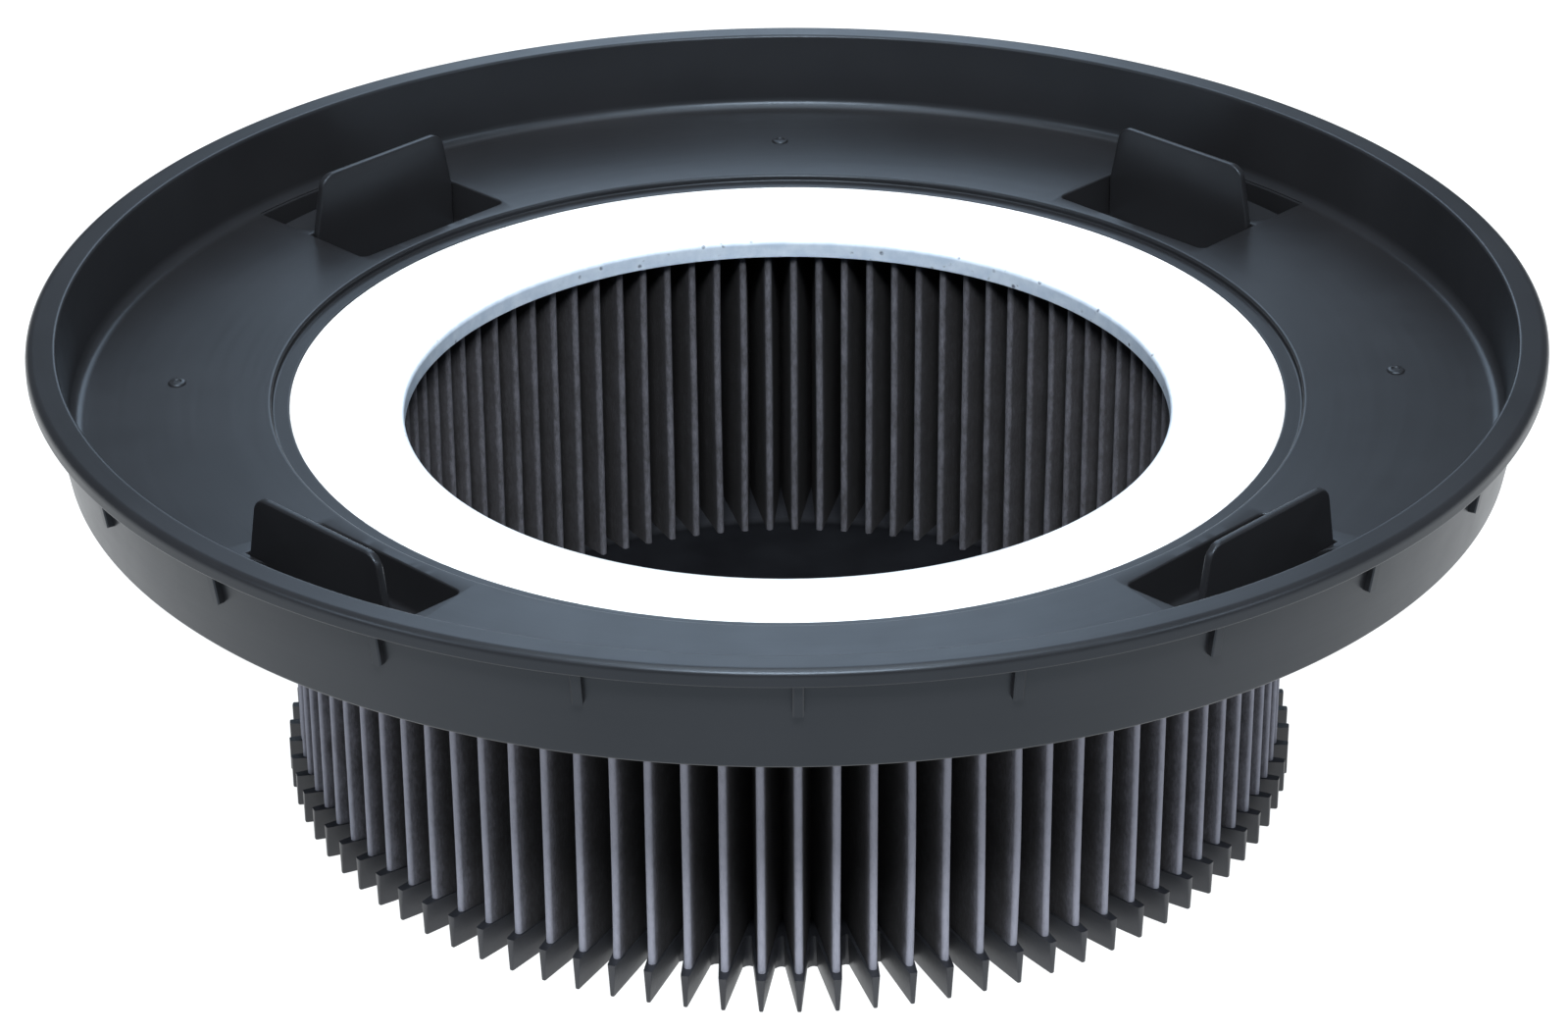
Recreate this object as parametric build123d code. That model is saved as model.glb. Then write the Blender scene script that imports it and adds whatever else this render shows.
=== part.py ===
from build123d import *
import os
from math import asin, atan2, cos, hypot, pi, sin

# Cartridge filter for a drum vacuum. A round dish hangs by its lip in the drum's mouth
# and carries a folded filter cartridge, sealed into a cast ring at its top and closed
# by a toothed cap at its foot. Millimetres, +Z up, origin on the axis under the cap.

# Whole filter
overall_height = 120.0      # underside of the end cap to the top of the lip
lip_diameter = 360.0        # over the lip that rests on the drum

# Lip, wall and skirt of the dish
lip_thickness = 4.0         # height of the lip's outer face
lip_overhang = 4.0          # lip outside the top of the skirt
lip_top_fall = 0.4          # how far the lip's top sinks from its edge to the wall
lip_edge_break = 1.2        # broken outer edge
skirt_depth = 27.5          # top of the lip to the foot of the skirt
skirt_taper = 4.0           # how far the skirt draws in from the lip to its foot
skirt_wall = 2.6

# Floor of the dish
tray_depth = 20.2           # top of the lip to the floor
wall_top_thickness = 3.2    # wall of the tray at the lip
wall_foot_thickness = 2.5   # and at the floor
tray_corner_break = 1.8     # filled corner between the floor and the wall
floor_thickness = 2.2
recess_width = 4.1          # seal ring to the step up to the floor
recess_depth = 1.7
recess_wall = 1.9           # outside of the recess, under the floor

# Gussets under the lip
gusset_count = 24
gusset_width = 2.4
gusset_reach = 1.7          # out from the face of the skirt
gusset_height = 9.0

# Finger pockets with their pinch tabs
pocket_count = 4
pocket_first_angle = 45.0
pocket_recess_gap = 1.8     # recess wall to the pocket's straight inner edge
pocket_back_gap = 2.0       # foot of the tray's wall to the pocket's curved back
pocket_width = 48.4
pocket_depth = 32.0         # top of the lip to the pocket's floor
pocket_back_rise = 6.8      # how far the floor slopes up to the pocket's back
pocket_back_run = 9.5       # length of that slope
pocket_wall = 1.8
pocket_corner_round = 2.0
tab_lead = 0.9              # tab ahead of the pocket's middle, towards the axis
tab_thickness = 2.0
tab_top_gap = 4.9           # top of the tab below the top of the lip
tab_side_gap = 1.0          # each side of the tab to the pocket's end
tab_taper = 3.0             # how far each side draws in above the floor
tab_top_round = 4.0
tab_web = 8.0               # sweep that ties each end of the tab to the pocket's end

# Folded filter pack
pleat_count = 90
pleat_outer_diameter = 243.0
pleat_depth = 26.6
pleat_turn = 2.3            # degrees from +X to an outer fold
media_thickness = 0.95      # also sets the width of a fold's nose

# Seal ring, cast on the top of the pack and over the ledge of the dish
ring_cover = 2.7            # ring inside the inner folds
ring_margin = 1.1           # ring outside the outer folds
ring_height = 8.2
ring_bore_break = 2.0
ledge_width = 3.2           # ledge over the ring
ledge_thickness = 2.0

# End cap, cast on the foot of the pack
cap_height = 8.5
cap_overhang = 2.9          # tooth outside an outer fold
cap_web = 11.6              # inner folds to the bottom of a valley
cap_margin = 0.4            # cap outside the flank of a pleat

# Heights that follow from the sizes above
lip_top = overall_height
lip_under = lip_top - lip_thickness
floor_top = lip_top - tray_depth
floor_under = floor_top - floor_thickness
ledge_top = floor_top - recess_depth
ledge_under = ledge_top - ledge_thickness
ring_foot = ledge_top - ring_height
skirt_foot = lip_top - skirt_depth
pocket_floor = lip_top - pocket_depth
tab_top = lip_top - tab_top_gap

# Radii that several pieces share
lip_radius = lip_diameter / 2
skirt_top_radius = lip_radius - lip_overhang
skirt_foot_radius = skirt_top_radius - skirt_taper
pleat_outer_radius = pleat_outer_diameter / 2
pleat_inner_radius = pleat_outer_radius - pleat_depth
ring_outer_radius = pleat_outer_radius + ring_margin
ledge_inner_radius = ring_outer_radius - ledge_width
recess_radius = ledge_inner_radius + recess_width
recess_outer_radius = recess_radius + recess_wall
half_pitch = pi / pleat_count


def skirt_radius(height):
    # Outside of the tapered skirt at a height.
    share = (lip_under - height) / (lip_under - skirt_foot)
    return skirt_top_radius - share * skirt_taper


# Places that follow from the taper of the wall
wall_foot_radius = skirt_radius(floor_top) - wall_foot_thickness
pocket_near_edge = recess_outer_radius + pocket_recess_gap
pocket_back_radius = wall_foot_radius - pocket_back_gap
tab_distance = (pocket_near_edge + pocket_back_radius) / 2 - tab_lead


def section(outline, breaks=()):
    # Face in the XZ plane through (radius, height) corners, some of them cut off.
    face = make_face(Polyline(*[(r, 0, z) for r, z in outline], close=True))
    for (r, z), setback in breaks:
        corner = face.vertices().sort_by_distance((r, 0, z))[0]
        face = face.face().chamfer_2d(setback, setback, [corner])
    return face


def around(shapes, count, first_angle=0.0):
    # Copies of the shapes spread evenly about the axis.
    step = 360.0 / count
    return [Rot(0, 0, first_angle + i * step) * shape for i in range(count) for shape in shapes]


def dish_shell():
    # Lip, wall, floor, recess, ledge and skirt: one section turned about the axis.
    wall_foot = (wall_foot_radius, floor_top)
    outline = [
        (ledge_inner_radius, ledge_top),
        (recess_radius, ledge_top),
        (recess_radius, floor_top),
        wall_foot,
        (skirt_top_radius - wall_top_thickness, lip_top - lip_top_fall),
        (lip_radius - lip_edge_break, lip_top),
        (lip_radius, lip_top - lip_edge_break),
        (lip_radius, lip_under),
        (skirt_top_radius, lip_under),
        (skirt_foot_radius, skirt_foot),
        (skirt_foot_radius - skirt_wall, skirt_foot),
        (skirt_radius(floor_under) - skirt_wall, floor_under),
        (recess_outer_radius, floor_under),
        (recess_outer_radius, ledge_under),
        (ledge_inner_radius, ledge_under),
    ]
    return revolve(section(outline, [(wall_foot, tray_corner_break)]), Axis.Z)


def gusset():
    # Short rib under the lip, on +X, that runs down the skirt and ends square.
    root = skirt_wall / 2
    foot = lip_under - gusset_height
    outline = [
        (skirt_top_radius - root, lip_under),
        (skirt_top_radius + gusset_reach, lip_under),
        (skirt_radius(foot) + gusset_reach, foot),
        (skirt_radius(foot) - root, foot),
    ]
    return extrude(section(outline), gusset_width / 2, both=True)


def box_between(x, y, z):
    # Box from three (low, high) pairs.
    size = [high - low for low, high in (x, y, z)]
    middle = [(low + high) / 2 for low, high in (x, y, z)]
    return Pos(*middle) * Box(*size)


def pocket_side():
    # Side view of a pocket's inside, on +X: flat floor, then a slope that clears the skirt's foot.
    slope_start = pocket_back_radius - pocket_back_run
    steepness = pocket_back_rise / pocket_back_run
    outline = [
        (pocket_near_edge, lip_top),
        (pocket_near_edge, pocket_floor),
        (slope_start, pocket_floor),
        (lip_radius, pocket_floor + steepness * (lip_radius - slope_start)),
        (lip_radius, lip_top),
    ]
    return section(outline)


def pocket_tub():
    # Walls and floor of one pocket, hung under the dish on +X; its back lies in the skirt.
    half = pocket_width / 2 + pocket_wall
    tub = extrude(offset(pocket_side(), pocket_wall, kind=Kind.INTERSECTION), half, both=True)
    below_floor = (pocket_floor - 2 * pocket_wall, (floor_top + floor_under) / 2)
    tub &= box_between((0, lip_radius), (-half, half), below_floor)
    inside_skirt = skirt_foot_radius - skirt_wall / 2
    return tub & Cylinder(inside_skirt, overall_height * 2)


def pocket_hollow():
    # Space in front of the tab and, with swept corners, the space behind it.
    tab_face = tab_distance + tab_thickness / 2
    front = Pos((pocket_near_edge + tab_face) / 2, 0) * Rectangle(tab_face - pocket_near_edge, pocket_width)
    front = fillet(front.vertices().group_by(Axis.X)[0], pocket_corner_round)
    back = Pos((tab_face + lip_radius) / 2, 0) * Rectangle(lip_radius - tab_face, pocket_width)
    back = fillet(back.vertices().group_by(Axis.X)[0], tab_web)
    back &= Circle(pocket_back_radius)
    inside = extrude(pocket_side(), pocket_width, both=True)
    return [extrude(space, overall_height) & inside for space in (front, back)]


def pinch_tab():
    # Upright plate in the middle of a pocket, narrower at its top, rooted in the pocket's floor.
    root = pocket_floor - pocket_wall / 2
    foot_half = pocket_width / 2 - tab_side_gap
    top_half = foot_half - tab_taper
    side = [(foot_half, root), (foot_half, floor_top), (top_half, tab_top)]
    outline = side + [(-y, z) for y, z in reversed(side)]
    plate = make_face(Polyline(*[(tab_distance, y, z) for y, z in outline], close=True))
    plate = plate.face().fillet_2d(tab_top_round, plate.vertices().group_by(Axis.Z)[-1])
    return extrude(plate, tab_thickness / 2, both=True)


def carrier_dish():
    dish = dish_shell()
    dish += around([gusset()], gusset_count)
    dish += around([pocket_tub()], pocket_count, pocket_first_angle)
    dish -= around(pocket_hollow(), pocket_count, pocket_first_angle)
    dish += around([pinch_tab()], pocket_count, pocket_first_angle)
    return dish


def fold_line():
    # One flank of the folded media, from an outer fold on +X to the inner fold half a pitch on.
    # The crease of each fold lies one thickness behind its nose, and the flank's two faces
    # are parallel, so they fix the lean of the flank. Returns a point on each face and the lean.
    outer_crease = (pleat_outer_radius - media_thickness, 0.0)
    inner_crease = polar(pleat_inner_radius + media_thickness, half_pitch)
    dx = outer_crease[0] - inner_crease[0]
    dy = outer_crease[1] - inner_crease[1]
    lean = atan2(dy, dx) + asin(media_thickness / hypot(dx, dy))
    return outer_crease, inner_crease, lean


def cut_at(point, lean, distance, angle=0.0):
    # Where a leaning line through a point crosses the line square to a ray, at a distance.
    gap = distance - point[0] * cos(angle) - point[1] * sin(angle)
    run = gap / cos(lean - angle)
    return (point[0] + run * cos(lean), point[1] + run * sin(lean))


def polar(radius, angle):
    return (radius * cos(angle), radius * sin(angle))


def turned(point, angle):
    return (
        point[0] * cos(angle) - point[1] * sin(angle),
        point[0] * sin(angle) + point[1] * cos(angle),
    )


def mirrored(point):
    return (point[0], -point[1])


def ring_of(motif):
    # Closed polygon: the points of one pitch repeated round the axis.
    corners = [turned(p, 2 * half_pitch * i) for i in range(pleat_count) for p in motif]
    return Rot(0, 0, pleat_turn) * make_face(Polyline(*corners, close=True))


def pleat_pack():
    outer_crease, inner_crease, lean = fold_line()
    outer_nose = cut_at(inner_crease, lean, pleat_outer_radius)
    inner_nose = cut_at(outer_crease, lean, pleat_inner_radius, half_pitch)
    outside = [mirrored(outer_nose), outer_nose, inner_crease]
    inside = [outer_crease, inner_nose, turned(mirrored(inner_nose), 2 * half_pitch)]
    sheet = ring_of(outside) - ring_of(inside)
    return Pos(0, 0, cap_height) * extrude(sheet, ring_foot - cap_height)


def seal_ring():
    # The ring grips the ledge: narrow above it, wide below it, flat on the ends of the folds.
    bore_radius = pleat_inner_radius - ring_cover
    bore_edge = (bore_radius, ledge_top)
    outline = [
        (bore_radius, ring_foot),
        (ring_outer_radius, ring_foot),
        (ring_outer_radius, ledge_under),
        (ledge_inner_radius, ledge_under),
        (ledge_inner_radius, ledge_top),
        bore_edge,
    ]
    return revolve(section(outline, [(bore_edge, ring_bore_break)]), Axis.Z)


def end_cap():
    # Star disc: each tooth follows its pleat at the margin, and the valleys are cut off flat.
    _, flank, lean = fold_line()
    side = (flank[0] - cap_margin * sin(lean), flank[1] + cap_margin * cos(lean))
    tip = cut_at(side, lean, pleat_outer_radius + cap_overhang)
    valley = cut_at(side, lean, pleat_inner_radius + cap_web)
    star = [mirrored(valley), mirrored(tip), tip, valley]
    return extrude(ring_of(star), cap_height)


nodes = {
    "carrier_dish": carrier_dish(),
    "seal_ring": seal_ring(),
    "pleat_pack": pleat_pack(),
    "end_cap": end_cap(),
}
os.makedirs("parts", exist_ok=True)
for name, solid in nodes.items():
    export_step(solid, f"parts/{name}.step")
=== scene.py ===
import math

import bmesh
import bpy
import numpy as np
from mathutils import Matrix, Vector


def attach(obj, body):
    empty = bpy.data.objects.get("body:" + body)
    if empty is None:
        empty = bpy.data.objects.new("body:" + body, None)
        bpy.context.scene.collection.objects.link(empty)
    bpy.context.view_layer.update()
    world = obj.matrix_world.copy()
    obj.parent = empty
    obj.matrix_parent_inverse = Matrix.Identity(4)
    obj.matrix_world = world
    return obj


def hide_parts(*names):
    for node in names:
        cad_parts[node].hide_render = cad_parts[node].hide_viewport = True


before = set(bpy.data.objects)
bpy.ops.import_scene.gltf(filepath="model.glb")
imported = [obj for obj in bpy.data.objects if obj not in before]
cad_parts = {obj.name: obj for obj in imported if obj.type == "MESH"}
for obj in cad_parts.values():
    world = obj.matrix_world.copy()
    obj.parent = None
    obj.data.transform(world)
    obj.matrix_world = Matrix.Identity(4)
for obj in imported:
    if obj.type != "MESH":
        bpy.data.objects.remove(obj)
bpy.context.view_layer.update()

mm = 0.001  # every size below is written in millimetres
weldGap = 3e-6  # metres: points of a cut mesh nearer than this are one point
print("frame loaded:", sorted(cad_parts))


# mesh helpers

def meshFromArrays(name, verts, faces):
    # verts in millimetres, faces as one array of quads or triangles
    mesh = bpy.data.meshes.new(name)
    count = faces.shape[1]
    mesh.vertices.add(len(verts))
    mesh.vertices.foreach_set("co", (np.asarray(verts, float) * mm).astype(np.float32).ravel())
    mesh.loops.add(faces.size)
    mesh.loops.foreach_set("vertex_index", faces.astype(np.int32).ravel())
    mesh.polygons.add(len(faces))
    mesh.polygons.foreach_set("loop_start", np.arange(0, faces.size, count, dtype=np.int32))
    mesh.update(calc_edges=True)
    mesh.validate()
    return mesh


def gridFaces(rows, cols, closeRows, closeCols):
    # quads between neighbouring rows and columns, joined end to end where closed
    r = np.arange(rows if closeRows else rows - 1)
    c = np.arange(cols if closeCols else cols - 1)
    r, c = np.meshgrid(r, c, indexing="ij")
    r1, c1 = (r + 1) % rows, (c + 1) % cols
    return np.stack([r * cols + c, r * cols + c1, r1 * cols + c1, r1 * cols + c], -1).reshape(-1, 4)


def cornerRounds(corners, radii, steps=6, support=0.25):
    # outline through 2D corners, each swept by an arc tangent to both sides, with a
    # support point a little way along each side so that flat stretches shade flat
    pts = np.asarray(corners, float)
    out = []
    for i, radius in enumerate(radii):
        p, a, b = pts[i], pts[i - 1], pts[(i + 1) % len(pts)]
        da = (a - p) / np.linalg.norm(a - p)
        db = (b - p) / np.linalg.norm(b - p)
        if radius <= 0:
            out.append(p[None])
            continue
        half = math.acos(np.clip(da @ db, -1, 1)) / 2
        reach = radius / math.tan(half)
        centre = p + (da + db) / np.linalg.norm(da + db) * radius / math.sin(half)
        start, end = p + da * reach - centre, p + db * reach - centre
        sweep = math.pi - 2 * half
        t = np.linspace(0, 1, steps + 1)[:, None]
        arc = (np.sin((1 - t) * sweep) * start + np.sin(t * sweep) * end) / math.sin(sweep)
        ends = np.array([[p + da * (reach + support)], [p + db * (reach + support)]])
        out.append(np.vstack([ends[0], centre + arc, ends[1]]))
    return np.vstack(out)


def turnProfile(name, profile, segments):
    # closed (radius, height) outline carried round the axis
    angle = np.linspace(0, 2 * np.pi, segments, endpoint=False)
    r, z = profile[:, 0][:, None], profile[:, 1][:, None]
    verts = np.stack([r * np.cos(angle), r * np.sin(angle), z + 0 * angle], -1)
    return meshFromArrays(name, verts.reshape(-1, 3), gridFaces(len(profile), segments, True, True))


def offsetLoop(loop, distance):
    # closed 2D loop, counter-clockwise, moved outwards along the bisector of its sides;
    # the floor of 0.2 keeps a sharp corner from shooting out
    before = loop - np.roll(loop, 1, 0)
    after = np.roll(loop, -1, 0) - loop
    before = before / np.linalg.norm(before, axis=1)[:, None]
    after = after / np.linalg.norm(after, axis=1)[:, None]
    na = np.stack([before[:, 1], -before[:, 0]], 1)
    nb = np.stack([after[:, 1], -after[:, 0]], 1)
    mid = na + nb
    mid = mid / np.maximum((mid * na).sum(1), 0.2)[:, None]
    return loop + mid * distance


def stackLoops(name, loops, place):
    # solid between stacked copies of one loop; place turns (loop point, level) into x, y, z
    layers = [place(points, level) for points, level in loops]
    count = len(layers[0])
    verts = np.vstack(layers)
    mesh = meshFromArrays(name, verts, gridFaces(len(layers), count, False, True))
    build = bmesh.new()
    build.from_mesh(mesh)
    build.verts.ensure_lookup_table()
    for first in (0, (len(layers) - 1) * count):
        build.faces.new([build.verts[first + i] for i in range(count)])
    bmesh.ops.recalc_face_normals(build, faces=build.faces)
    build.to_mesh(mesh)
    build.free()
    return mesh


def newPiece(name, mesh):
    piece = bpy.data.objects.new(name, mesh)
    bpy.context.scene.collection.objects.link(piece)
    return piece


def combine(target, tools, operation):
    # exact union, difference or intersection with each tool, kept as the target's own mesh
    for tool in tools:
        step = target.modifiers.new("cut", "BOOLEAN")
        step.operation, step.object, step.solver = operation, tool, "EXACT"
    bpy.context.view_layer.update()
    graph = bpy.context.evaluated_depsgraph_get()
    made = bpy.data.meshes.new_from_object(target.evaluated_get(graph))
    target.modifiers.clear()
    target.data = made
    for tool in tools:
        bpy.data.objects.remove(tool)


def spreadMesh(name, mesh, turns):
    # one mesh holding a copy of the mesh at each turn about the axis
    build = bmesh.new()
    for angle in turns:
        copy = mesh.copy()
        copy.transform(Matrix.Rotation(math.radians(angle), 4, "Z"))
        build.from_mesh(copy)
        bpy.data.meshes.remove(copy)
    made = bpy.data.meshes.new(name)
    build.to_mesh(made)
    build.free()
    return made


def cleanMesh(piece):
    # merges doubled points and drops slivers and pairs of faces that lie back to back
    build = bmesh.new()
    build.from_mesh(piece.data)
    bmesh.ops.remove_doubles(build, verts=build.verts, dist=weldGap)
    bmesh.ops.dissolve_degenerate(build, dist=weldGap, edges=build.edges)
    bmesh.ops.triangulate(build, faces=build.faces)
    first, doubled = {}, []
    for face in build.faces:
        corners = frozenset(face.verts)
        if corners in first:
            doubled += [face, first.pop(corners)]
        else:
            first[corners] = face
    bmesh.ops.delete(build, geom=doubled, context="FACES")
    build.to_mesh(piece.data)
    build.free()


def smoothByAngle(piece, degrees):
    piece.data.shade_smooth()
    piece.data.set_sharp_from_angle(angle=math.radians(degrees))


def seat(piece, node, material):
    piece.data.materials.clear()
    piece.data.materials.append(material)
    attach(piece, "root")
    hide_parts(node)


# material helpers

def newMaterial(name):
    made = bpy.data.materials.new(name)
    made.use_nodes = True
    tree = made.node_tree
    return made, tree, tree.nodes["Principled BSDF"]


def node(tree, kind, **values):
    made = tree.nodes.new(kind)
    for key, value in values.items():
        if key in made.inputs:
            made.inputs[key].default_value = value
        else:
            setattr(made, key, value)
    return made


def ramp(tree, source, stops):
    made = tree.nodes.new("ShaderNodeValToRGB")
    band = made.color_ramp
    while len(band.elements) < len(stops):
        band.elements.new(0.5)
    for element, (place, colour) in zip(band.elements, stops):
        element.position = place
        element.color = (*colour, 1)
    tree.links.new(source, made.inputs["Fac"])
    return made.outputs["Color"]


def grey(value):
    return (value, value, value)


def noiseOn(tree, vector, scale, detail=2.0, roughness=0.5):
    made = node(tree, "ShaderNodeTexNoise", Scale=scale, Detail=detail, Roughness=roughness)
    tree.links.new(vector, made.inputs["Vector"])
    return made.outputs["Fac"]


def maths(tree, operation, a, b=None):
    made = tree.nodes.new("ShaderNodeMath")
    made.operation = operation
    for socket, value in zip(made.inputs, (a, b)):
        if value is None:
            continue
        if isinstance(value, (int, float)):
            socket.default_value = value
        else:
            tree.links.new(value, socket)
    return made.outputs[0]


def bumpFrom(tree, shader, height, strength, distance):
    made = node(tree, "ShaderNodeBump", Strength=strength, Distance=distance)
    tree.links.new(height, made.inputs["Height"])
    tree.links.new(made.outputs["Normal"], shader.inputs["Normal"])


def objectPoint(tree):
    return tree.nodes.new("ShaderNodeTexCoord").outputs["Object"]


def radiusAndAngle(tree, point):
    # distance from the axis in metres, the angle about it, and the height
    parts = node(tree, "ShaderNodeSeparateXYZ")
    tree.links.new(point, parts.inputs[0])
    x, y, z = parts.outputs
    square = maths(tree, "ADD", maths(tree, "MULTIPLY", x, x), maths(tree, "MULTIPLY", y, y))
    return maths(tree, "SQRT", square), maths(tree, "ARCTAN2", y, x), z


# carrier dish

dish = dict(
    lipRadius=180.0, lipTop=120.0, lipUnder=116.0,
    skirtTop=176.0, skirtFoot=172.0, skirtFootHeight=92.5, skirtWall=2.6,
    wallTop=172.8, wallFoot=170.74, floorTop=99.8, floorUnder=97.6,
    recess=123.5, recessOut=125.4, ledgeIn=119.4, ledgeTop=98.1, ledgeUnder=96.1,
    segments=720, sharpAngle=28,
    # how far joined forms sink in, and how far the cutting tools run past what they cut
    overlap=0.6, cutFoot=60.0, cutHalf=60.0, cutOver=9.0, cutPast=1.0, mouthOver=2.0,
    # rounds of the section's corners
    ledgeEdge=0.25, recessFoot=0.4, recessEdge=0.7, floorSweep=3.0, lipInside=0.8, lipOutside=1.8,
    lipUnderEdge=0.5, skirtHead=0.8, skirtFootOutside=0.8, skirtFootInside=0.6,
    floorRoot=1.0, recessRoot=0.5,
    ribs=24, ribWidth=2.4, ribReach=1.7, ribHeight=9.0, ribEase=0.3, ribSink=0.5,
    pocketNear=127.2, pocketBack=168.74, pocketWidth=48.4, pocketFloor=88.0, pocketWall=1.8,
    slopeRise=6.8, slopeRun=9.5,
    pocketCorner=2.0, pocketEdge=0.45, pocketFillet=1.6, tubEdge=0.9, tubRound=1.2, tubClear=0.9,
    tabAt=147.07, tabThick=2.0, tabTop=115.1, tabFootHalf=23.2, tabTopHalf=20.2,
    tabRound=4.0, tabShoulder=2.5, tabEdge=0.55, tabWeb=8.0,
    gateAt=146.7, gateRadius=2.2, gateHeight=0.7, gateSides=24,
)
pocketTurns = (45, 135, 225, 315)
gateTurns = (0, 90, 180, 270)


def skirtAt(height):
    # the skirt's outer radius, straight from the lip down to the foot
    share = (dish["lipUnder"] - height) / (dish["lipUnder"] - dish["skirtFootHeight"])
    return dish["skirtTop"] + share * (dish["skirtFoot"] - dish["skirtTop"])


def dishProfile():
    # half section of the dish, each corner with its own sweep, run so that its faces point outwards
    d = dish
    corners = [
        ((d["ledgeIn"], d["ledgeTop"]), d["ledgeEdge"]),
        ((d["recess"], d["ledgeTop"]), d["recessFoot"]),
        ((d["recess"], d["floorTop"]), d["recessEdge"]),
        ((d["wallFoot"], d["floorTop"]), d["floorSweep"]),
        ((d["wallTop"], d["lipTop"]), d["lipInside"]),
        ((d["lipRadius"], d["lipTop"]), d["lipOutside"]),
        ((d["lipRadius"], d["lipUnder"]), d["lipUnderEdge"]),
        ((d["skirtTop"], d["lipUnder"]), d["skirtHead"]),
        ((d["skirtFoot"], d["skirtFootHeight"]), d["skirtFootOutside"]),
        ((d["skirtFoot"] - d["skirtWall"], d["skirtFootHeight"]), d["skirtFootInside"]),
        ((skirtAt(d["floorUnder"]) - d["skirtWall"], d["floorUnder"]), d["floorRoot"]),
        ((d["recessOut"], d["floorUnder"]), d["recessRoot"]),
        ((d["recessOut"], d["ledgeUnder"]), d["recessFoot"]),
        ((d["ledgeIn"], d["ledgeUnder"]), d["ledgeEdge"]),
    ]
    return cornerRounds([c for c, _ in corners], [r for _, r in corners])[::-1]


def flatPlace(points, level):
    return np.column_stack([points, np.full(len(points), level)])


def sidePrism(name, outline, levels):
    # (radius, height) outline on +X, carried across the pocket; levels are (across, inset)
    def place(points, level):
        return np.column_stack([points[:, 0], np.full(len(points), level), points[:, 1]])

    return stackLoops(name, [(offsetLoop(outline, -inset), y) for y, inset in levels], place)


def pocketSide(wall, top, rounding):
    # side view of a pocket, grown by a wall: flat floor, then a slope that clears the skirt's foot
    d = dish
    steep = d["slopeRise"] / d["slopeRun"]
    low = d["pocketFloor"] - wall
    start = d["pocketBack"] - d["slopeRun"] + wall * math.tan(math.atan(steep) / 2)
    far = d["skirtFoot"] + d["cutPast"]
    near = d["pocketNear"] - d["tubClear"] * wall  # just clear of the recess wall
    rise = low + steep * (far - start)
    corners = [(near, top), (near, low), (start, low), (far, rise), (far, top)]
    return cornerRounds(corners, [0, rounding, rounding, 0, 0])


def pocketTub():
    # walls and floor under the dish, cut off round where they reach the skirt
    d = dish
    outer, soft = d["pocketWidth"] / 2 + d["pocketWall"], d["tubEdge"]
    a = np.linspace(0, np.pi / 2, 5)
    ends = [(outer - soft * (1 - np.sin(t)), soft * (1 - np.cos(t))) for t in a]
    levels = [(-y, inset) for y, inset in ends[::-1]] + ends
    outline = pocketSide(d["pocketWall"], d["floorTop"] - d["overlap"], d["tubRound"])
    tub = newPiece("tub", sidePrism("tub", outline, levels))
    inSkirt = d["skirtFoot"] - d["skirtWall"] / 2
    phi = np.linspace(0, 2 * np.pi, d["segments"], endpoint=False)
    loop = inSkirt * np.column_stack([np.cos(phi), np.sin(phi)])
    disc = newPiece("disc", stackLoops("disc", [(loop, d["cutFoot"]), (loop, d["lipTop"])], flatPlace))
    combine(tub, [disc], "INTERSECT")
    return tub


def pocketHollows():
    # loops seen from above, on +X: the space in front of the tab and the one behind it
    d = dish
    half = d["pocketWidth"] / 2
    tabFace = d["tabAt"] + d["tabThick"] / 2
    frontLoop = cornerRounds(
        [(tabFace, -half), (tabFace, half), (d["pocketNear"], half), (d["pocketNear"], -half)],
        [0, 0, d["pocketCorner"], d["pocketCorner"]], steps=8)
    arcEnd = math.asin(half / d["pocketBack"])
    arc = np.linspace(-arcEnd, arcEnd, 31)
    web = d["tabWeb"]
    turn = np.linspace(0, np.pi / 2, 11)
    sweep = np.column_stack([tabFace + web - web * np.sin(turn), half - web + web * np.cos(turn)])
    backLoop = np.vstack([
        d["pocketBack"] * np.column_stack([np.cos(arc), np.sin(arc)]),
        sweep,
        sweep[::-1] * [1, -1],
    ])
    grow, wide = d["overlap"], d["cutHalf"]
    side = pocketSide(grow, d["lipTop"] + d["cutOver"], d["tubRound"]) + [0, grow]
    made = []
    for loop in (frontLoop, backLoop):
        hollow = newPiece("hollow", stackLoops("hollow", hollowLevels(loop), flatPlace))
        inside = sidePrism("inside", side, [(-wide, 0), (wide, 0)])
        combine(hollow, [newPiece("inside", inside)], "INTERSECT")
        made.append(hollow)
    return made


def hollowLevels(loop):
    # a pocket's hollow: swept foot, straight wall, and a mouth that flares by a quarter round
    d = dish
    fillet, edge = d["pocketFillet"], d["pocketEdge"]
    a = np.linspace(0, np.pi / 2, 6)
    foot, mouth = d["pocketFloor"], d["floorTop"] - edge
    levels = [(offsetLoop(loop, -fillet * (1 - np.sin(t))), foot + fillet * (1 - np.cos(t))) for t in a]
    levels += [(offsetLoop(loop, edge * (1 - np.cos(t))), mouth + edge * np.sin(t)) for t in a]
    levels.append((offsetLoop(loop, edge), d["lipTop"] + d["mouthOver"]))
    return levels


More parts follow.
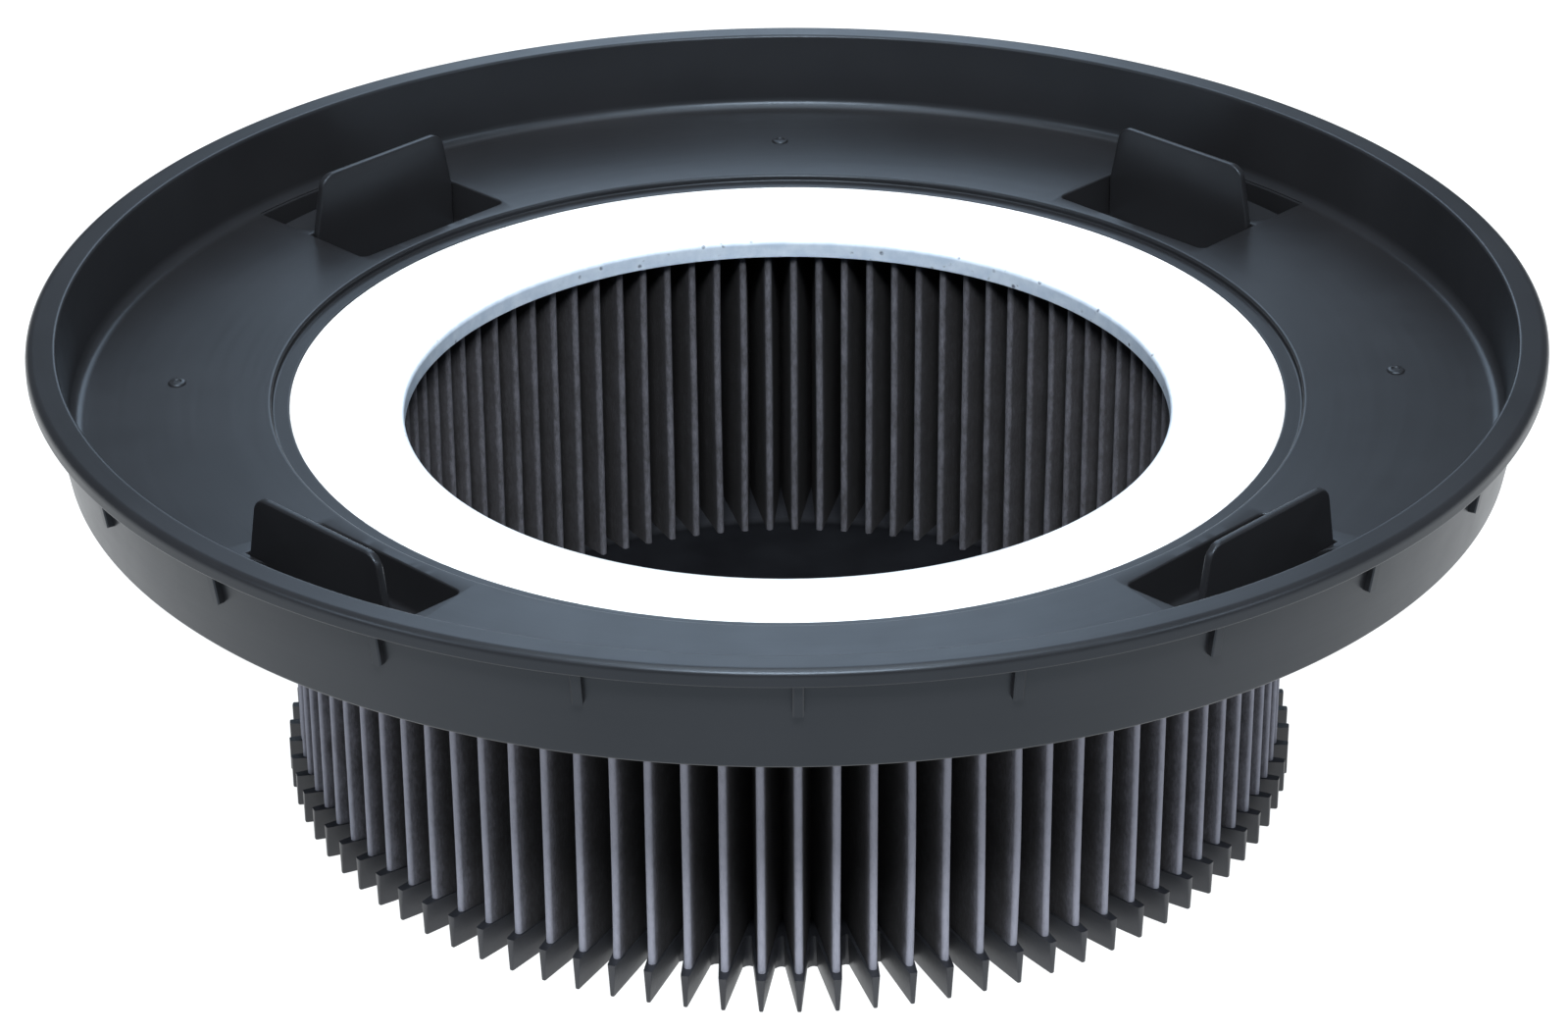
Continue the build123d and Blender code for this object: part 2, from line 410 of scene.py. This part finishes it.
def tabMesh():
    # pinch tab: outline in its own plane, stacked through the thickness with rounded edges
    d = dish
    root = d["pocketFloor"] - d["pocketWall"] / 2
    wide, narrow = d["tabFootHalf"], d["tabTopHalf"]
    outline = cornerRounds(
        [(-wide, root), (wide, root), (wide, d["floorTop"]),
         (narrow, d["tabTop"]), (-narrow, d["tabTop"]), (-wide, d["floorTop"])],
        [0, 0, d["tabShoulder"], d["tabRound"], d["tabRound"], d["tabShoulder"]], steps=8)
    edge, half = d["tabEdge"], d["tabThick"] / 2
    a = np.linspace(0, np.pi / 2, 5)
    lower = [(-half + edge * (1 - np.sin(t)), -edge * (1 - np.cos(t))) for t in a[::-1]]
    levels = lower + [(-s, inset) for s, inset in lower[::-1]]

    def place(points, level):
        return np.column_stack([np.full(len(points), d["tabAt"] + level), points])

    return stackLoops("tab", [(offsetLoop(outline, inset), s) for s, inset in levels], place)


def ribMesh():
    # short rib down the skirt, square at its foot, stacked through its width with eased edges
    d = dish
    root = d["skirtWall"] / 2
    foot = d["lipUnder"] - d["ribHeight"]
    head = d["lipUnder"] + d["ribSink"]
    outline = np.array([
        (d["skirtTop"] - root, head),
        (skirtAt(foot) - root, foot),
        (skirtAt(foot) + d["ribReach"], foot),
        (d["skirtTop"] + d["ribReach"], head),
    ])
    half, ease = d["ribWidth"] / 2, d["ribEase"]
    levels = [(-half, ease), (-half + ease, 0.0), (half - ease, 0.0), (half, ease)]
    return sidePrism("rib", outline, levels)


def gateMesh():
    # stub of a cut-off gate: rings that close in as they rise, with a small dip at the top
    d = dish
    tall, centre = d["gateHeight"], [d["gateAt"], 0]
    phi = np.linspace(0, 2 * np.pi, d["gateSides"], endpoint=False)
    ring = np.column_stack([np.cos(phi), np.sin(phi)]) * d["gateRadius"]
    # share of the radius, rise over the floor
    steps = [(1.0, -0.5), (1.0, 0.15), (0.86, 0.45), (0.55, tall * 0.8), (0.4, tall * 0.45)]
    loops = [(ring * share + centre, d["floorTop"] + rise) for share, rise in steps]
    return stackLoops("gate", loops, flatPlace)


dishLook = dict(
    dark=(0.0105, 0.0105, 0.0116), pale=(0.0145, 0.0146, 0.0162),
    rough=0.28, roughSpread=0.10, ior=1.50, gloss=0.32, glossTint=(0.70, 0.84, 1.0, 1),
    cloudScale=22.0, patchScale=90.0, grainScale=2600.0, bandScale=260.0, bandTurn=1.6,
    grainShare=0.10, bandShare=0.9, bumpStrength=0.10, bumpDepth=0.00035,
)


def dishMaterial():
    # satin black moulding: fine grain, cloudy gloss and faint bands that follow the turn of the dish
    k = dishLook
    made, tree, shader = newMaterial("satinDish")
    point = objectPoint(tree)
    radius, angle, height = radiusAndAngle(tree, point)
    cloud = noiseOn(tree, point, k["cloudScale"], 3.0)
    grain = noiseOn(tree, point, k["grainScale"], 2.0)
    patch = noiseOn(tree, point, k["patchScale"], 4.0, 0.6)
    colour = ramp(tree, cloud, [(0.3, k["dark"]), (0.7, k["pale"])])
    tree.links.new(colour, shader.inputs["Base Color"])
    rough = maths(tree, "ADD", maths(tree, "MULTIPLY", patch, k["roughSpread"]), k["rough"])
    tree.links.new(rough, shader.inputs["Roughness"])
    shader.inputs["IOR"].default_value = k["ior"]
    shader.inputs["Specular IOR Level"].default_value = k["gloss"]
    shader.inputs["Specular Tint"].default_value = k["glossTint"]
    swirl = node(tree, "ShaderNodeCombineXYZ")
    tree.links.new(maths(tree, "MULTIPLY", radius, k["bandScale"]), swirl.inputs[0])
    tree.links.new(maths(tree, "MULTIPLY", angle, k["bandTurn"]), swirl.inputs[1])
    tree.links.new(maths(tree, "MULTIPLY", height, k["bandScale"]), swirl.inputs[2])
    bands = noiseOn(tree, swirl.outputs[0], 1.0, 2.0)
    grain = maths(tree, "MULTIPLY", grain, k["grainShare"])
    relief = maths(tree, "ADD", grain, maths(tree, "MULTIPLY", bands, k["bandShare"]))
    bumpFrom(tree, shader, relief, k["bumpStrength"], k["bumpDepth"])
    return made


def buildDish():
    # turned section, with tubs, ribs and gate stubs joined on, hollows cut out and tabs set in
    d = dish
    piece = newPiece("carrierDish", turnProfile("carrierDish", dishProfile(), d["segments"]))
    tub = pocketTub()
    tubs = newPiece("tubs", spreadMesh("tubs", tub.data, pocketTurns))
    bpy.data.objects.remove(tub)
    ribTurns = np.arange(d["ribs"]) * 360 / d["ribs"]
    ribs = newPiece("ribs", spreadMesh("ribs", ribMesh(), ribTurns))
    gates = newPiece("gates", spreadMesh("gates", gateMesh(), gateTurns))
    combine(piece, [tubs, ribs, gates], "UNION")
    for hollow in pocketHollows():
        cutter = newPiece("cutter", spreadMesh("cutter", hollow.data, pocketTurns))
        bpy.data.objects.remove(hollow)
        combine(piece, [cutter], "DIFFERENCE")
    tabs = newPiece("tabs", spreadMesh("tabs", tabMesh(), pocketTurns))
    combine(piece, [tabs], "UNION")
    cleanMesh(piece)
    smoothByAngle(piece, d["sharpAngle"])
    seat(piece, "carrier_dish", dishMaterial())
    print("dish:", len(piece.data.polygons), "faces")


# folded filter pack

pleats = dict(
    count=90, outer=121.5, inner=94.9, thick=0.95, top=89.9, foot=8.5,
    rows=14, arcSteps=4, turn=2.3, sharpAngle=50, creaseGap=1e-7,  # the gap in metres
    wander=0.16, waveRun=2.2, holdPower=0.7, seed=7,  # each fold's drift to the side
    # fold paleness is painted light: brightest on the lit noses, fading through the flank values into
    # painted shade down the grooves; the inner noses are dimmed further as painted shade inside the pack
    flankShares=(0.06, 0.14, 0.5, 0.86, 0.94), flankLight=(0.30, 0.06, 0.0, 0.0, 0.0),
    noseFade=0.5, innerNoseShade=0.36,
)


def foldLine():
    # crease of an outer fold on +X, crease of the next inner fold, and the flank's lean:
    # both creases lie one thickness behind their noses and the two faces run parallel
    p = pleats
    half = math.pi / p["count"]
    outerCrease = np.array([p["outer"] - p["thick"], 0.0])
    innerCrease = (p["inner"] + p["thick"]) * np.array([math.cos(half), math.sin(half)])
    run = outerCrease - innerCrease
    lean = math.atan2(run[1], run[0]) + math.asin(p["thick"] / np.linalg.norm(run))
    return outerCrease, innerCrease, lean, half


def turned(points, angle):
    # points in the plane, turned about the axis
    c, s = np.cos(angle), np.sin(angle)
    return np.stack([points[..., 0] * c - points[..., 1] * s, points[..., 0] * s + points[..., 1] * c], -1)


def foldFaces():
    # one pitch of the sheet as two matching rows of points, its outside and its inside face:
    # outer nose, flank, inner nose, flank. A nose is an arc round its crease. Beside the points
    # come the paleness of each face and how far each point lies from outer to inner fold
    p = pleats
    outerCrease, innerCrease, lean, half = foldLine()
    square = lean + math.pi / 2  # across the flank, away from the fold
    t = np.linspace(-1, 1, 2 * p["arcSteps"] + 1)
    swing = square * t
    noseOut = outerCrease + p["thick"] * np.stack([np.cos(swing), np.sin(swing)], -1)
    back = np.pi + half - (math.pi - (square - half)) * t
    noseIn = innerCrease + p["thick"] * np.stack([np.cos(back), np.sin(back)], -1)
    share = np.array(p["flankShares"])[:, None]
    nextOut, nextCrease = turned(noseOut[0], 2 * half), turned(outerCrease, 2 * half)
    outside = np.vstack([
        noseOut, noseOut[-1] + share * (innerCrease - noseOut[-1]),
        np.repeat(innerCrease[None], len(t), 0), innerCrease + share * (nextOut - innerCrease),
    ])
    inside = np.vstack([
        np.repeat(outerCrease[None], len(t), 0), outerCrease + share * (noseIn[0] - outerCrease),
        noseIn, noseIn[-1] + share * (nextCrease - noseIn[-1]),
    ])
    # painted light: paleness peaks on each nose crest as if lit and fades down the flanks into painted
    # shade; the inside face's noses are scaled down as painted shade inside the pack
    crest, none, fade = 1 - p["noseFade"] * np.abs(t) ** 3, np.zeros(len(t)), np.array(p["flankLight"])
    paleOut = np.concatenate([crest, fade, none, fade[::-1]])
    paleIn = p["innerNoseShade"] * np.concatenate([none, fade[::-1], crest, fade])
    inward = np.concatenate([none, share[:, 0], none + 1, 1 - share[:, 0]])
    return outside, inside, paleOut, paleIn, inward


def pleatMesh():
    # the folded sheet: rows along the fold, columns round the sheet's own thickness.
    # Each fold wanders a little to the side, most at mid height, and is held at both ends
    p = pleats
    outside, inside, paleOut, paleIn, inward = foldFaces()
    count, rows, columns = p["count"], p["rows"], len(outside)
    turns = 2 * np.pi * np.arange(count) / count + math.radians(p["turn"])
    seed = np.random.default_rng(p["seed"])
    ring = [np.vstack([turned(face, a) for a in turns]) for face in (outside, inside)]
    along = np.linspace(0, 1, rows)[:, None]
    hold = np.sin(np.pi * along) ** p["holdPower"]
    phase, size = seed.uniform(0, 2 * np.pi, (2, count)), seed.normal(0, p["wander"], (2, count))
    waves = np.sin(phase[:, None] + p["waveRun"] * along) * size[:, None] * hold
    fold = np.repeat(np.arange(count), columns)
    following = (np.tile(np.arange(columns), count) >= columns - len(p["flankShares"])).astype(int)
    share = np.tile(inward, count)
    wave = (1 - share) * waves[0][:, (fold + following) % count] + share * waves[1][:, fold]
    side = np.stack([-ring[0][:, 1], ring[0][:, 0]], -1)
    side = side / np.linalg.norm(side, axis=1)[:, None]
    heights = np.linspace(p["foot"], p["top"], rows)
    layers = []
    for face, order in ((ring[0], slice(None)), (ring[1], slice(None, None, -1))):
        xy = face[None] + side[None] * wave[..., None]
        z = np.broadcast_to(heights[:, None, None], (rows, len(face), 1))
        layers.append(np.concatenate([xy, z], -1)[order])
    verts = np.concatenate(layers, 0)
    mesh = meshFromArrays("pleatPack", verts.reshape(-1, 3), gridFaces(2 * rows, len(fold), True, True))
    # painted light and shade of the folds, stored on the points for the material
    pale = np.concatenate([np.tile(paleOut, count * rows), np.tile(paleIn, count * rows)])
    mesh.attributes.new("fold", "FLOAT", "POINT").data.foreach_set("value", pale.astype(np.float32))
    build = bmesh.new()
    build.from_mesh(mesh)
    bmesh.ops.remove_doubles(build, verts=build.verts, dist=p["creaseGap"])
    bmesh.ops.recalc_face_normals(build, faces=build.faces)
    build.to_mesh(mesh)
    build.free()
    return mesh


# colour ramp from near-black, painted shade deep in the grooves, to mauve-grey, painted light on the fold
# noses
mediaLook = dict(
    stops=[
        (0.0, (0.032, 0.031, 0.033)), (0.25, (0.055, 0.054, 0.061)),
        (0.60, (0.15, 0.152, 0.180)), (1.0, (0.26, 0.265, 0.315)),
    ],
    fibreScale=1500.0, fibreStretch=(1.0, 1.0, 0.35), fibreWear=0.5, patchScale=160.0, patchWear=0.3,
    rough=0.92, gloss=0.2, bumpStrength=0.35, bumpDepth=0.0003,
)


def mediaMaterial():
    # needled polyester with short fibres; near-black down the flanks as painted shade in the grooves,
    # mauve-grey along each fold nose as painted light
    k = mediaLook
    made, tree, shader = newMaterial("needledMedia")
    point = objectPoint(tree)
    crest = node(tree, "ShaderNodeAttribute", attribute_name="fold").outputs["Fac"]
    stretch = node(tree, "ShaderNodeMapping", Scale=k["fibreStretch"])
    tree.links.new(point, stretch.inputs["Vector"])
    fibre = noiseOn(tree, stretch.outputs["Vector"], k["fibreScale"], 3.0, 0.7)
    fade = noiseOn(tree, point, k["patchScale"], 2.0)
    # painted light of the folds, spread by fibre and patch noise that is the media's own tone
    noseLightAndFibre = crest
    for source, share in ((fibre, k["fibreWear"]), (fade, k["patchWear"])):
        spread = maths(tree, "MULTIPLY", maths(tree, "SUBTRACT", source, 0.5), share)
        noseLightAndFibre = maths(tree, "ADD", noseLightAndFibre, spread)
    colour = ramp(tree, noseLightAndFibre, k["stops"])
    tree.links.new(colour, shader.inputs["Base Color"])
    shader.inputs["Roughness"].default_value = k["rough"]
    shader.inputs["Specular IOR Level"].default_value = k["gloss"]
    bumpFrom(tree, shader, fibre, k["bumpStrength"], k["bumpDepth"])
    return made


def buildPleats():
    piece = newPiece("pleatPack", pleatMesh())
    smoothByAngle(piece, pleats["sharpAngle"])
    seat(piece, "pleat_pack", mediaMaterial())
    print("pleats:", len(piece.data.polygons), "faces")


# seal ring

ringSizes = dict(
    bore=92.2, outer=122.6, ledgeIn=119.4, top=98.1, foot=89.9, ledgeUnder=96.1,
    fallWidth=10.0, fallDepth=3.8, fallSweep=18.0, boreRound=1.2, topRound=0.5, footIn=0.3, footOut=0.8,
    segments=540, sharpAngle=28,
)
# the bore colours are painted shade on the upright bore, greyer and bluer than the top; the pit colour is
# painted shade in the bubble pits
ringLook = dict(
    top=((0.80, 0.81, 0.82), (0.85, 0.855, 0.86)), bore=((0.39, 0.465, 0.565), (0.48, 0.55, 0.635)),
    pitShade=(0.12, 0.14, 0.18, 1), cellScale=330.0, mottleScale=260.0, topScale=45.0, mottleShare=0.25,
    rough=0.5, glow=0.08, glowReach=(0.004, 0.004, 0.004), bumpStrength=0.25, bumpDepth=0.0004,
)


def ringMaterial():
    # white casting with a smooth top; the upright part of the bore is painted greyer and bluer as painted
    # shade, and pitted with bubbles whose dents are painted dark as painted shade
    k = ringLook
    made, tree, shader = newMaterial("castRing")
    point = objectPoint(tree)
    _, _, height = radiusAndAngle(tree, point)
    tenths = maths(tree, "MULTIPLY", height, 10.0)  # height in tenths of a metre, for the ramp
    # mask of the upright part of the bore, where the colour is painted shade
    wall = ramp(tree, tenths, [(0.941, grey(1.0)), (0.950, grey(0.0))])
    cells = node(tree, "ShaderNodeTexVoronoi", Scale=k["cellScale"])
    tree.links.new(point, cells.inputs["Vector"])
    bubbles = ramp(tree, cells.outputs["Distance"], [(0.12, grey(1.0)), (0.24, grey(0.0))])
    mottle = noiseOn(tree, point, k["mottleScale"], 3.0, 0.6)
    where = ramp(tree, mottle, [(0.50, grey(0.0)), (0.62, grey(1.0))])
    pits = maths(tree, "MULTIPLY", maths(tree, "MULTIPLY", bubbles, where), wall)
    base = ramp(tree, noiseOn(tree, point, k["topScale"], 2.0), list(zip((0.3, 0.7), k["top"])))
    # painted shade: the upright bore's colour, greyer and bluer than the top
    inner = ramp(tree, mottle, list(zip((0.35, 0.65), k["bore"])))
    mixBoreShade = node(tree, "ShaderNodeMix", data_type="RGBA")
    tree.links.new(wall, mixBoreShade.inputs["Factor"])
    tree.links.new(base, mixBoreShade.inputs[6])
    tree.links.new(inner, mixBoreShade.inputs[7])
    # painted shade in the bubble pits
    mixPits = node(tree, "ShaderNodeMix", data_type="RGBA")
    mixPits.inputs[7].default_value = k["pitShade"]
    tree.links.new(pits, mixPits.inputs["Factor"])
    tree.links.new(mixBoreShade.outputs[2], mixPits.inputs[6])
    tree.links.new(mixPits.outputs[2], shader.inputs["Base Color"])
    shader.inputs["Roughness"].default_value = k["rough"]
    shader.inputs["Subsurface Weight"].default_value = k["glow"]
    shader.inputs["Subsurface Radius"].default_value = k["glowReach"]
    relief = maths(tree, "SUBTRACT", maths(tree, "MULTIPLY", mottle, k["mottleShare"]), pits)
    bumpFrom(tree, shader, relief, k["bumpStrength"], k["bumpDepth"])
    return made


def buildRing():
    # half section carried round: flat top that falls to the bore, and a step that laps the ledge
    r = ringSizes
    corners = [
        ((r["bore"], r["foot"]), r["footIn"]),
        ((r["outer"], r["foot"]), r["footOut"]),
        ((r["outer"], r["ledgeUnder"]), 0),
        ((r["ledgeIn"], r["ledgeUnder"]), 0),
        ((r["ledgeIn"], r["top"]), r["topRound"]),
        ((r["bore"] + r["fallWidth"], r["top"]), r["fallSweep"]),  # from here the top falls to the bore
        ((r["bore"], r["top"] - r["fallDepth"]), r["boreRound"]),
    ]
    profile = cornerRounds([c for c, _ in corners], [q for _, q in corners], steps=8)
    piece = newPiece("sealRing", turnProfile("sealRing", profile, r["segments"]))
    smoothByAngle(piece, r["sharpAngle"])
    seat(piece, "seal_ring", ringMaterial())
    print("ring:", len(piece.data.polygons), "faces")


# end cap

cap = dict(
    height=8.5, tip=124.4, valley=106.5, margin=0.4, draft=0.52, edge=0.35, edgeDraw=0.4,
    tipEase=0.35, tipShare=0.6, valleySag=0.9, valleySteps=5, sharpAngle=35,
)
# the inside shade factor is painted shade, darkening the cap's top inside the pack
capLook = dict(
    dark=(0.016, 0.017, 0.021), pale=(0.026, 0.028, 0.034), insideShade=0.28, insideGloss=0.02, gloss=0.5,
    rough=0.88, roughDrop=0.54, roughSpread=0.12, cloudScale=60.0, pitScale=900.0,
    bumpStrength=0.12, bumpDepth=0.0003,
)


def starLoop(margin, tip, valley):
    # star outline: each tooth runs beside its pleat at the margin, with eased tips and
    # valleys swept by an arc between two teeth
    _, flank, lean, half = foldLine()
    side = flank + margin * np.array([-math.sin(lean), math.cos(lean)])

    def cutAt(distance):
        run = (distance - side[0]) / math.cos(lean)
        return side + run * np.array([math.cos(lean), math.sin(lean)])

    tipPoint, valleyPoint = cutAt(tip), cutAt(valley)
    tipHalf, ease = tipPoint[1], min(cap["tipEase"], tipPoint[1] * cap["tipShare"])
    softMiddle = [tip - ease * 0.25, tipHalf - ease * 0.35]
    softTip = np.array([cutAt(tip - ease), softMiddle, [tip, tipHalf - ease]])
    across = turned(valleyPoint * [1, -1], 2 * half)
    t = np.linspace(0, 1, cap["valleySteps"])[:, None]
    chord = (valleyPoint + across) / 2
    pull = 2 * chord * (1 - cap["valleySag"] / valley) - chord
    sweep = (1 - t) ** 2 * valleyPoint + 2 * t * (1 - t) * pull + t ** 2 * across
    motif = np.vstack([softTip * [1, -1], softTip[::-1], sweep[:-1]])
    first = math.radians(pleats["turn"])
    return np.vstack([turned(motif, 2 * half * i + first) for i in range(pleats["count"])])


def capMaterial():
    # satin black casting: cloudy gloss and small pits outside; duller inside the pack, and darker there
    # through painted shade
    k = capLook
    made, tree, shader = newMaterial("castCap")
    point = objectPoint(tree)
    cloud = noiseOn(tree, point, k["cloudScale"], 3.0)
    fine = noiseOn(tree, point, k["pitScale"], 2.0)
    radius, _, _ = radiusAndAngle(tree, point)
    outward = maths(tree, "MULTIPLY", radius, 8.0)  # 0.8 lies at the valleys of the teeth
    colour = ramp(tree, cloud, [(0.3, k["dark"]), (0.7, k["pale"])])
    # painted shade: inside the pack the colour is scaled down to the inside shade factor
    inside = ramp(tree, outward, [(0.79, grey(k["insideShade"])), (0.82, grey(1.0))])
    shadedInside = node(tree, "ShaderNodeMix", data_type="RGBA", blend_type="MULTIPLY")
    shadedInside.inputs["Factor"].default_value = 1.0
    tree.links.new(colour, shadedInside.inputs[6])
    tree.links.new(inside, shadedInside.inputs[7])
    tree.links.new(shadedInside.outputs[2], shader.inputs["Base Color"])
    sheen = ramp(tree, outward, [(0.79, grey(k["insideGloss"])), (0.82, grey(k["gloss"]))])
    tree.links.new(sheen, shader.inputs["Specular IOR Level"])
    rough = maths(tree, "SUBTRACT", k["rough"], maths(tree, "MULTIPLY", inside, k["roughDrop"]))
    rough = maths(tree, "ADD", maths(tree, "MULTIPLY", cloud, k["roughSpread"]), rough)
    tree.links.new(rough, shader.inputs["Roughness"])
    bumpFrom(tree, shader, fine, k["bumpStrength"], k["bumpDepth"])
    return made


def buildCap():
    # star outline stacked from foot to top, eased at the foot, its teeth narrower towards the foot
    c = cap
    edge, tall = c["edge"], c["height"]
    loops = []
    for z, inset in ((0.0, edge), (edge * 0.3, edge * 0.3), (edge, 0.0), (tall * 0.5, 0.0), (tall, 0.0)):
        margin = c["margin"] - c["draft"] * (1 - z / tall) - inset * c["edgeDraw"]
        loops.append((starLoop(margin, c["tip"] - inset, c["valley"] - inset), z))
    piece = newPiece("endCap", stackLoops("endCap", loops, flatPlace))
    smoothByAngle(piece, c["sharpAngle"])
    seat(piece, "end_cap", capMaterial())
    print("cap:", len(piece.data.polygons), "faces")


# stage, light and camera

stageValues = dict(
    floorSize=12.0, floorColour=(0.14, 0.14, 0.14), glowColour=(0.97, 0.99, 1.0), floorGlow=1.03,
    floorRough=0.7, floorGloss=0.1, worldColour=(0.72, 0.85, 1.0), worldStrength=0.20,
)
# name: place, aim, width, height, watts, colour
panels = {
    "topPanel": ((0.0, 0.1, 1.8), (0, 0, 0.1), 0.9, 1.2, 13.0, (0.95, 0.98, 1.0)),
    "edgePanel": ((0.0, -0.55, 1.7), (0, 0, 0.1), 1.6, 0.22, 13.0, (0.90, 0.96, 1.0)),
    "frontPanel": ((0.0, -1.10, 1.30), (0, 0, 0.1), 0.60, 0.34, 31.0, (0.93, 0.97, 1.0)),
    "leftPanel": ((-1.15, -0.60, 1.0), (0, 0, 0.1), 0.5, 0.34, 3.5, (0.88, 0.95, 1.0)),
    "rightPanel": ((1.15, -0.60, 1.0), (0, 0, 0.1), 0.5, 0.34, 3.5, (0.88, 0.95, 1.0)),
    "backPanel": ((0.0, 1.25, 1.00), (0, 0, 0.12), 0.46, 1.2, 5.0, (0.66, 0.82, 1.0)),
}


def buildStage():
    s = stageValues
    half = s["floorSize"] / mm / 2
    corner = np.array([[-half, -half, 0], [half, -half, 0], [half, half, 0], [-half, half, 0]])
    floor = newPiece("floor", meshFromArrays("floor", corner, np.array([[0, 1, 2, 3]])))
    made, tree, shader = newMaterial("paleFloor")
    shader.inputs["Base Color"].default_value = (*s["floorColour"], 1)
    shader.inputs["Roughness"].default_value = s["floorRough"]
    shader.inputs["Specular IOR Level"].default_value = s["floorGloss"]
    shader.inputs["Emission Color"].default_value = (*s["glowColour"], 1)
    shader.inputs["Emission Strength"].default_value = s["floorGlow"]
    floor.data.materials.append(made)
    world = bpy.data.worlds.new("studio")
    world.use_nodes = True
    back = world.node_tree.nodes["Background"]
    back.inputs["Color"].default_value = (*s["worldColour"], 1)
    back.inputs["Strength"].default_value = s["worldStrength"]
    bpy.context.scene.world = world
    for name, (place, aim, width, height, watts, colour) in panels.items():
        light = bpy.data.lights.new(name, "AREA")
        light.shape, light.size, light.size_y = "RECTANGLE", width, height
        light.energy, light.color = watts, colour
        lamp = bpy.data.objects.new(name, light)
        lamp.location = place
        lamp.rotation_euler = (Vector(aim) - Vector(place)).to_track_quat("-Z", "Y").to_euler()
        lamp.visible_camera = False
        bpy.context.scene.collection.objects.link(lamp)
    bpy.context.scene.view_settings.view_transform = "Standard"
    print("stage set")


cameraValues = dict(
    focalPixels=4562.1, imageWidth=1599, sensor=36.0,
    place=(-0.0105, -0.97094, 0.56670), yaw=0.5629, pitch=27.4677, roll=-0.3465,
)


def buildCamera():
    # aim: yaw about the vertical, pitch down from level, then roll about the line of sight
    c = cameraValues
    yaw, pitch, roll = (math.radians(c[k]) for k in ("yaw", "pitch", "roll"))
    ahead = Vector((math.sin(yaw) * math.cos(pitch), math.cos(yaw) * math.cos(pitch), -math.sin(pitch)))
    right = Vector((math.cos(yaw), -math.sin(yaw), 0))
    up = right.cross(ahead)
    right, up = math.cos(roll) * right + math.sin(roll) * up, math.cos(roll) * up - math.sin(roll) * right
    data = bpy.data.cameras.new("photoCamera")
    data.sensor_width = c["sensor"]
    data.lens = c["focalPixels"] / c["imageWidth"] * c["sensor"]
    camera = bpy.data.objects.new("photoCamera", data)
    camera.matrix_world = Matrix((
        (right.x, up.x, -ahead.x, c["place"][0]),
        (right.y, up.y, -ahead.y, c["place"][1]),
        (right.z, up.z, -ahead.z, c["place"][2]),
        (0, 0, 0, 1),
    ))
    bpy.context.scene.collection.objects.link(camera)
    bpy.context.scene.camera = camera
    print("camera set")


buildCamera()
buildStage()
buildDish()
buildPleats()
buildRing()
buildCap()
